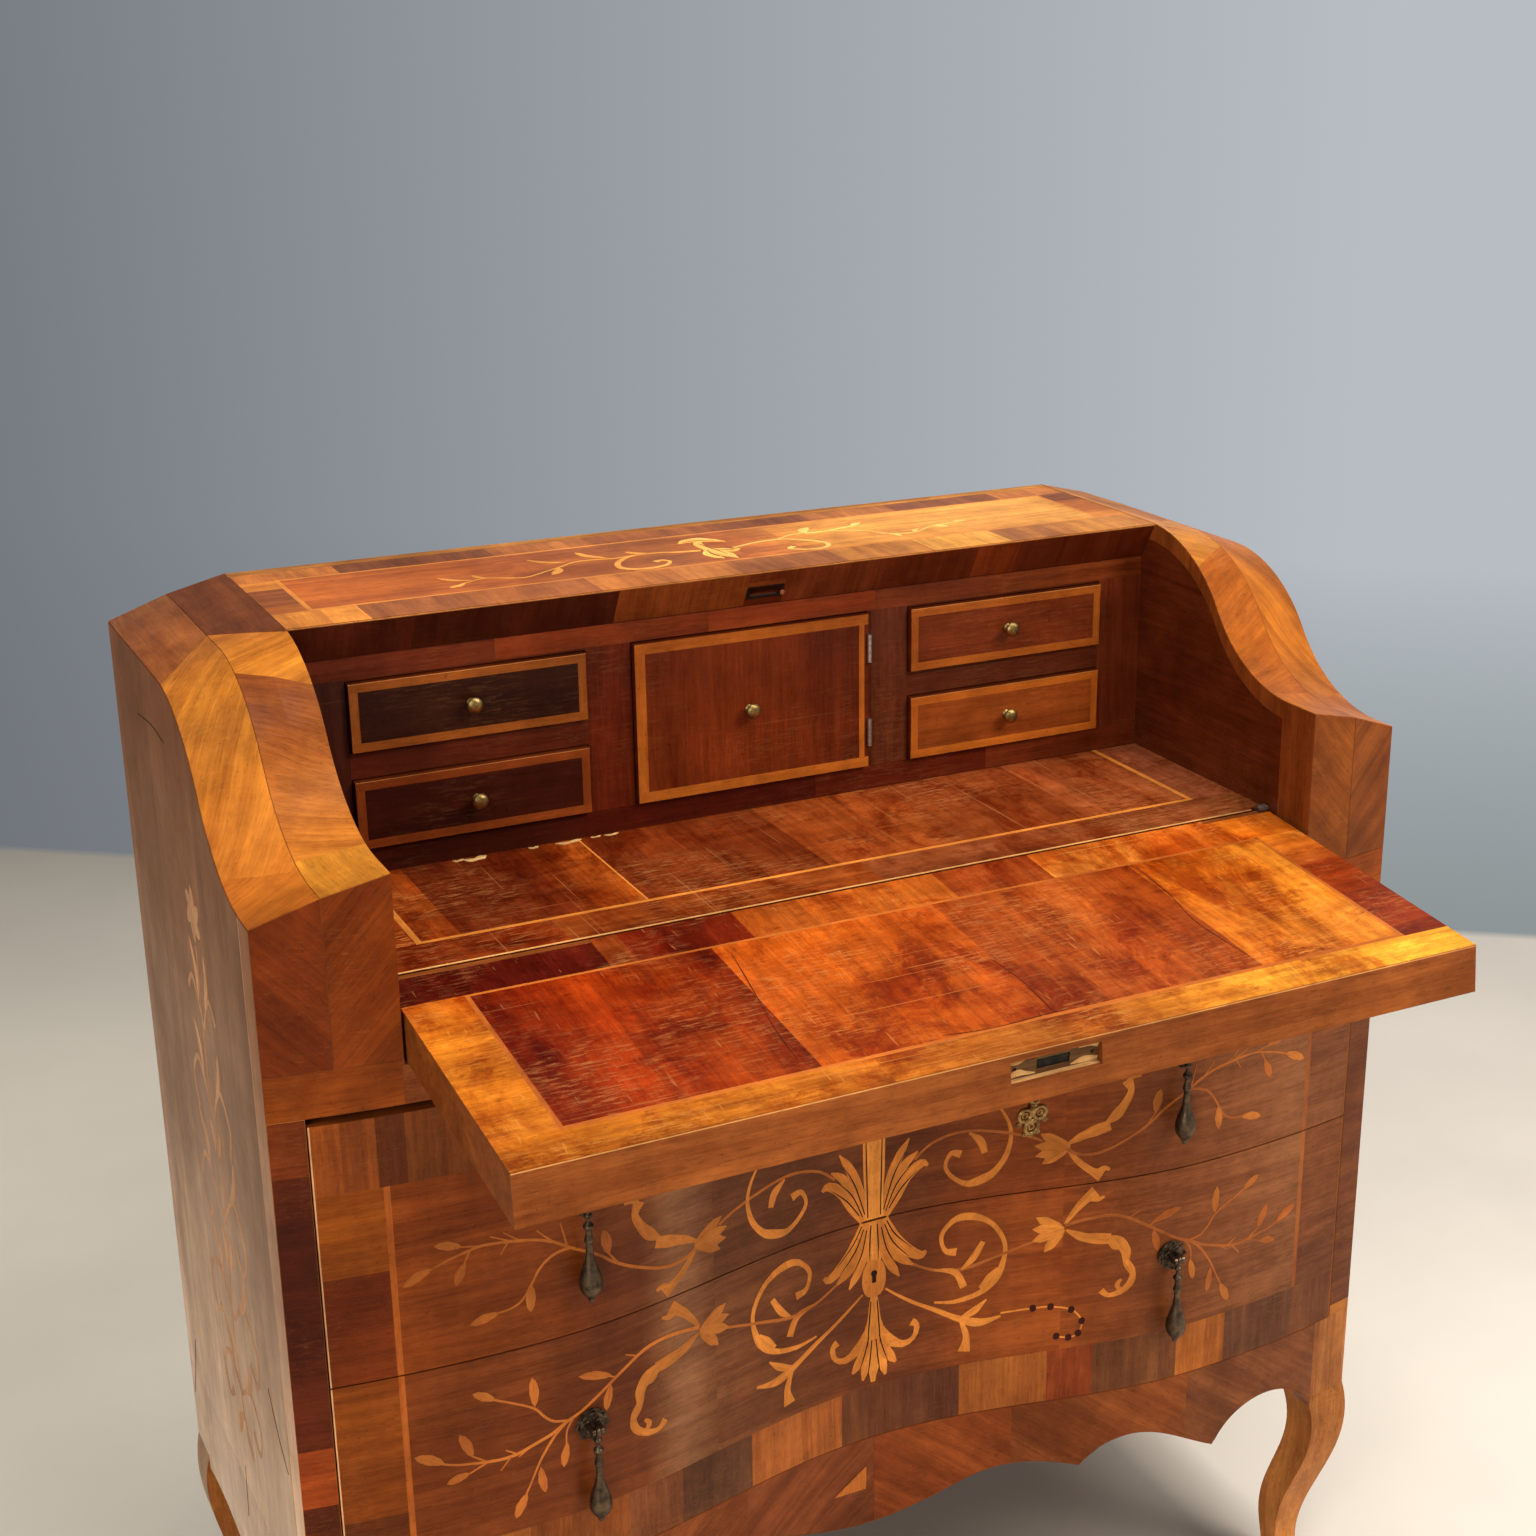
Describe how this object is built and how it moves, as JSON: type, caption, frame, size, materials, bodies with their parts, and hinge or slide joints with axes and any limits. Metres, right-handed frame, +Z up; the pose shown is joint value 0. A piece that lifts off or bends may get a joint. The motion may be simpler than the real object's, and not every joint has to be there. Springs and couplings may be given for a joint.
{
  "type": "escritoire",
  "caption": "Serpentine-front walnut escritoire on curved legs, with a drop front that opens to a writing bed, small drawers and a centre door, above long drawers with pendant pulls.",
  "frame": {"origin": "on the floor, under the centre of the box around the desk with its drop front open", "axes": "+X to the sitter's right, -Y towards the sitter, +Z up"},
  "size_m": [1.0072, 0.6732, 1.0285],
  "materials": {
    "walnut_veneer": "worn shellac over veneer",
    "red_brown_walnut": "dark polished veneer",
    "plain_wood": "unfinished board",
    "aged_brass": "dull, handled",
    "dark_bronze": "dark greenish patina",
    "old_steel": "dull, slightly rusty"
  },
  "bodies": {
    "case": {"arm_right": "walnut_veneer", "arm_left": "walnut_veneer", "cheek_right": "red_brown_walnut", "cheek_left": "red_brown_walnut", "side_panel_right": "walnut_veneer", "side_panel_left": "walnut_veneer", "front_leg_right": "walnut_veneer", "front_leg_left": "walnut_veneer", "rear_leg_right": "walnut_veneer", "rear_leg_left": "walnut_veneer", "front_apron": "walnut_veneer", "front_rail": "walnut_veneer", "upper_deck": "plain_wood", "drawer_divider": "plain_wood", "case_bottom": "plain_wood", "case_runners": "plain_wood", "back_board": "plain_wood", "top_board": "walnut_veneer", "fascia_rail": "walnut_veneer", "strike_plate": "aged_brass", "writing_bed": "walnut_veneer", "gallery_frame": "red_brown_walnut", "gallery_floor": "plain_wood", "gallery_partitions": "plain_wood", "gallery_shelves": "plain_wood", "door_hinges_fixed": "old_steel", "pivot_pins": "old_steel"},
    "fall": {"fall_panel": "walnut_veneer", "pivot_eyes": "old_steel", "fall_lock_case": "old_steel"},
    "fall_bolt": {"fall_lock_bolt": "old_steel"},
    "key": {"fall_key": "aged_brass"},
    "upper_drawer": {"upper_drawer_front": "walnut_veneer", "upper_drawer_box": "plain_wood", "upper_rosettes": "dark_bronze"},
    "lower_drawer": {"lower_drawer_front": "walnut_veneer", "lower_drawer_box": "plain_wood", "lower_rosettes": "dark_bronze", "lower_drawer_lock_case": "old_steel"},
    "lower_bolt": {"lower_drawer_lock_bolt": "old_steel"},
    "door": {"centre_door": "red_brown_walnut", "door_knob": "aged_brass", "door_hinges_moving": "old_steel"},
    "small_drawer_upper_left": {"upper_left_small_front": "red_brown_walnut", "upper_left_small_box": "plain_wood", "upper_left_small_knob": "aged_brass"},
    "small_drawer_upper_right": {"upper_right_small_front": "red_brown_walnut", "upper_right_small_box": "plain_wood", "upper_right_small_knob": "aged_brass"},
    "small_drawer_lower_left": {"lower_left_small_front": "red_brown_walnut", "lower_left_small_box": "plain_wood", "lower_left_small_knob": "aged_brass"},
    "small_drawer_lower_right": {"lower_right_small_front": "red_brown_walnut", "lower_right_small_box": "plain_wood", "lower_right_small_knob": "aged_brass"},
    "upper_pull_left": {"upper_drop_left": "dark_bronze"},
    "upper_pull_right": {"upper_drop_right": "dark_bronze"},
    "lower_pull_left": {"lower_drop_left": "dark_bronze"},
    "lower_pull_right": {"lower_drop_right": "dark_bronze"}
  },
  "joints": [
    {"name": "fall_hinge", "type": "hinge", "parent": "case", "child": "fall", "pos_m": [0, -0.05538, 0.81], "axis": [1, 0, 0], "range_deg": [-144.12, 0]},
    {"name": "key_turn", "type": "hinge", "parent": "fall", "child": "key", "pos_m": [0.012, -0.30589, 0.78557], "axis": [0, -0.0971, 0.9953], "range_deg": [0, 90]},
    {"name": "fall_bolt_slide", "type": "slide", "parent": "fall", "child": "fall_bolt", "axis": [0, -0.9953, -0.0971], "range_m": [0, 0.011]},
    {"name": "upper_drawer_slide", "type": "slide", "parent": "case", "child": "upper_drawer", "axis": [0, -1, 0], "range_m": [0, 0.21]},
    {"name": "lower_drawer_slide", "type": "slide", "parent": "case", "child": "lower_drawer", "axis": [0, -1, 0], "range_m": [0, 0.23]},
    {"name": "lower_bolt_slide", "type": "slide", "parent": "lower_drawer", "child": "lower_bolt", "axis": [0, 0, 1], "range_m": [0, 0.006]},
    {"name": "door_hinge", "type": "hinge", "parent": "case", "child": "door", "pos_m": [0.1114, 0.14872, 0.81], "axis": [0, 0, 1], "range_deg": [0, 90]},
    {"name": "upper_left_small_slide", "type": "slide", "parent": "case", "child": "small_drawer_upper_left", "axis": [0, -1, 0], "range_m": [0, 0.11]},
    {"name": "upper_right_small_slide", "type": "slide", "parent": "case", "child": "small_drawer_upper_right", "axis": [0, -1, 0], "range_m": [0, 0.11]},
    {"name": "lower_left_small_slide", "type": "slide", "parent": "case", "child": "small_drawer_lower_left", "axis": [0, -1, 0], "range_m": [0, 0.11]},
    {"name": "lower_right_small_slide", "type": "slide", "parent": "case", "child": "small_drawer_lower_right", "axis": [0, -1, 0], "range_m": [0, 0.11]},
    {"name": "upper_pull_left_swing", "type": "hinge", "parent": "upper_drawer", "child": "upper_pull_left", "pos_m": [-0.275, -0.12992, 0.627], "axis": [-1, 0, 0], "range_deg": [0, 75]},
    {"name": "upper_pull_right_swing", "type": "hinge", "parent": "upper_drawer", "child": "upper_pull_right", "pos_m": [0.275, -0.12992, 0.627], "axis": [-1, 0, 0], "range_deg": [0, 75]},
    {"name": "lower_pull_left_swing", "type": "hinge", "parent": "lower_drawer", "child": "lower_pull_left", "pos_m": [-0.275, -0.12992, 0.428], "axis": [-1, 0, 0], "range_deg": [0, 75]},
    {"name": "lower_pull_right_swing", "type": "hinge", "parent": "lower_drawer", "child": "lower_pull_right", "pos_m": [0.275, -0.12992, 0.428], "axis": [-1, 0, 0], "range_deg": [0, 75]}
  ],
  "couplings": [
    {"joint": "key_turn", "follows": "fall_bolt_slide", "rad_per_m": 142.79}
  ]
}
